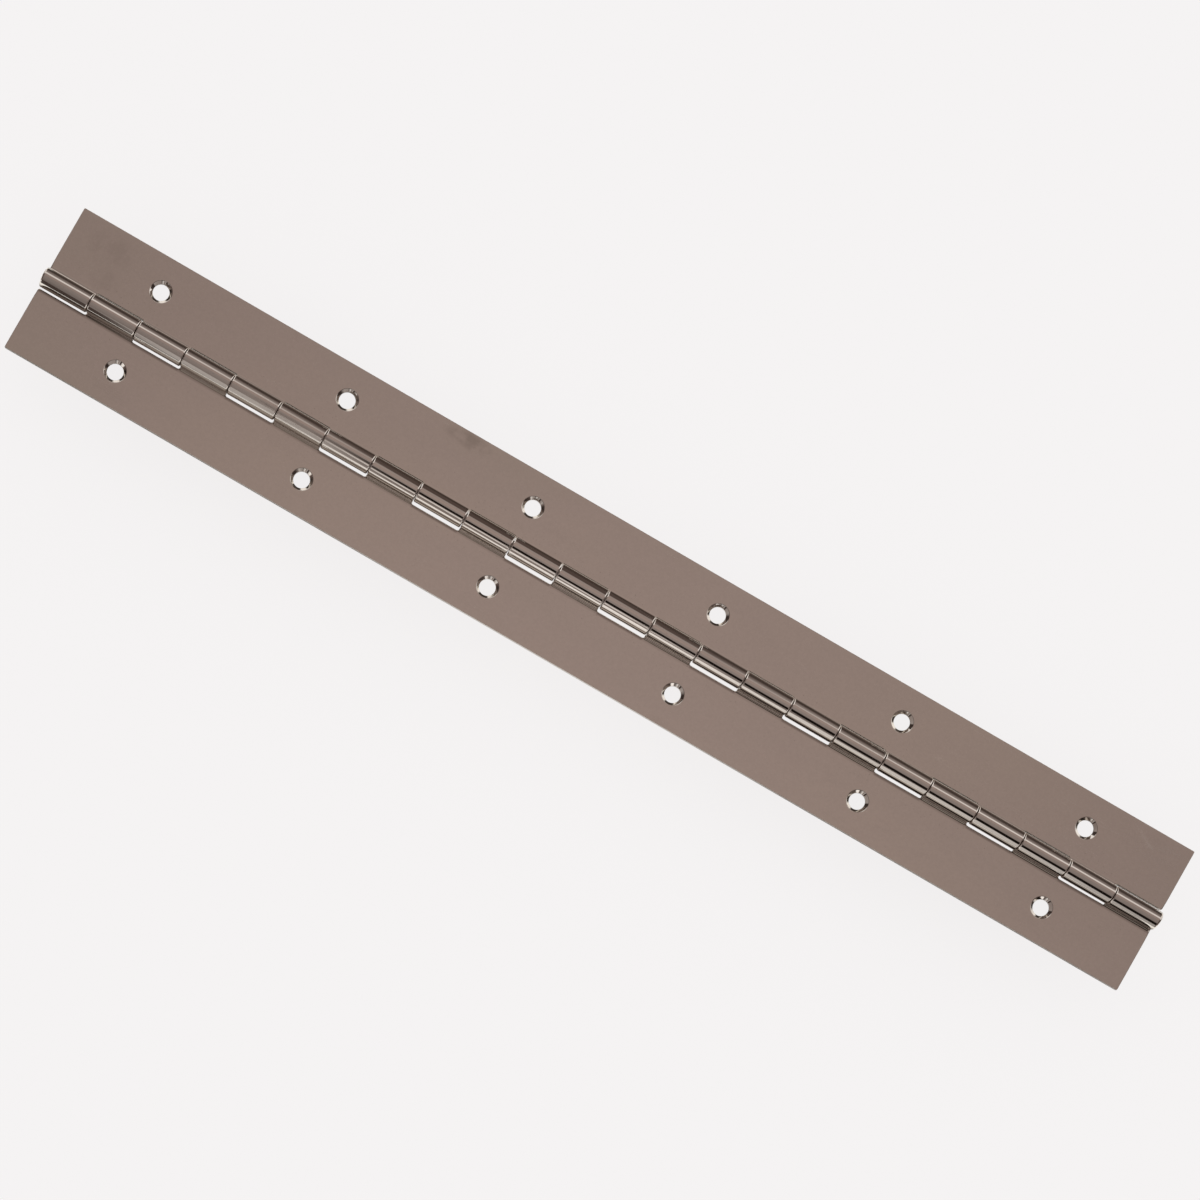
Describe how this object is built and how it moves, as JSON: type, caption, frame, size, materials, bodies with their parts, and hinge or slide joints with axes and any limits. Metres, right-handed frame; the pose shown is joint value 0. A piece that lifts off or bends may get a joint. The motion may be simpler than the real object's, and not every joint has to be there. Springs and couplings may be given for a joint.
{
  "type": "piano hinge",
  "caption": "Continuous hinge: long strip leaves with interleaved rolled knuckles on a full-length pin, and a row of countersunk screw holes along each leaf.",
  "frame": {"origin": "on the back (mounting) plane of the leaves, straight under the pin axis, at the middle of the hinge's length", "axes": "+X along the pin, +Y towards the frame leaf's outer edge, +Z out of the knuckle side, where the screw heads sit; rest pose is laid open flat"},
  "size_m": [0.3048, 0.0382, 0.0047],
  "materials": {
    "leaf_nickel": "bright nickel plate on steel, fine handling marks",
    "pin_steel": "drawn steel wire, lightly oiled"
  },
  "bodies": {
    "frame_leaf": {"frame_leaf": "leaf_nickel"},
    "door_leaf": {"door_leaf": "leaf_nickel"},
    "pin": {"hinge_pin": "pin_steel"}
  },
  "joints": [
    {"name": "leaf_swing", "type": "hinge", "parent": "frame_leaf", "child": "door_leaf", "pos_m": [0, 0, 0.00235], "axis": [-1, 0, 0], "range_deg": [-90, 180]},
    {"name": "pin_spin", "type": "hinge", "parent": "frame_leaf", "child": "pin", "pos_m": [0, 0, 0.00235], "axis": [1, 0, 0], "continuous": true}
  ]
}
